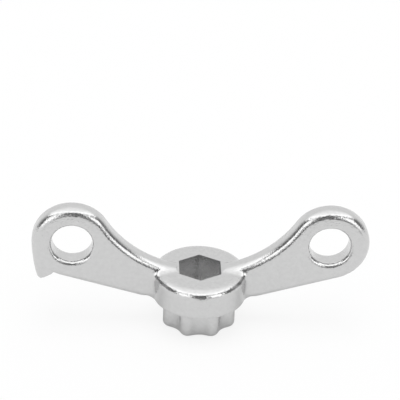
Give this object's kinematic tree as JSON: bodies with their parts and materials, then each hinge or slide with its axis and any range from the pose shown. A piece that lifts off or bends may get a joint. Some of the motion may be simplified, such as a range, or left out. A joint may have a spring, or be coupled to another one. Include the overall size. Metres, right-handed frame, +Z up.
{
  "type": "crank arm cap tool",
  "caption": "Butterfly-shaped cast hand key for bicycle crank arm caps: lobed plug under a hub with a hexagonal hole, an eye at the end of each arm and a small pick spur.",
  "frame": {"origin": "centre of the plug's end face, on the hub axis, where the tool stands", "axes": "+Z up the hub axis from the plug to the eyes, +X along the arms away from the spur, +Y through the thickness of the arms"},
  "size_m": [0.076, 0.0212, 0.0299],
  "materials": {
    "plated_casting": "satin nickel plate over a lightly sanded casting"
  },
  "bodies": {
    "root": {"tool_body": "plated_casting"}
  },
  "joints": []
}
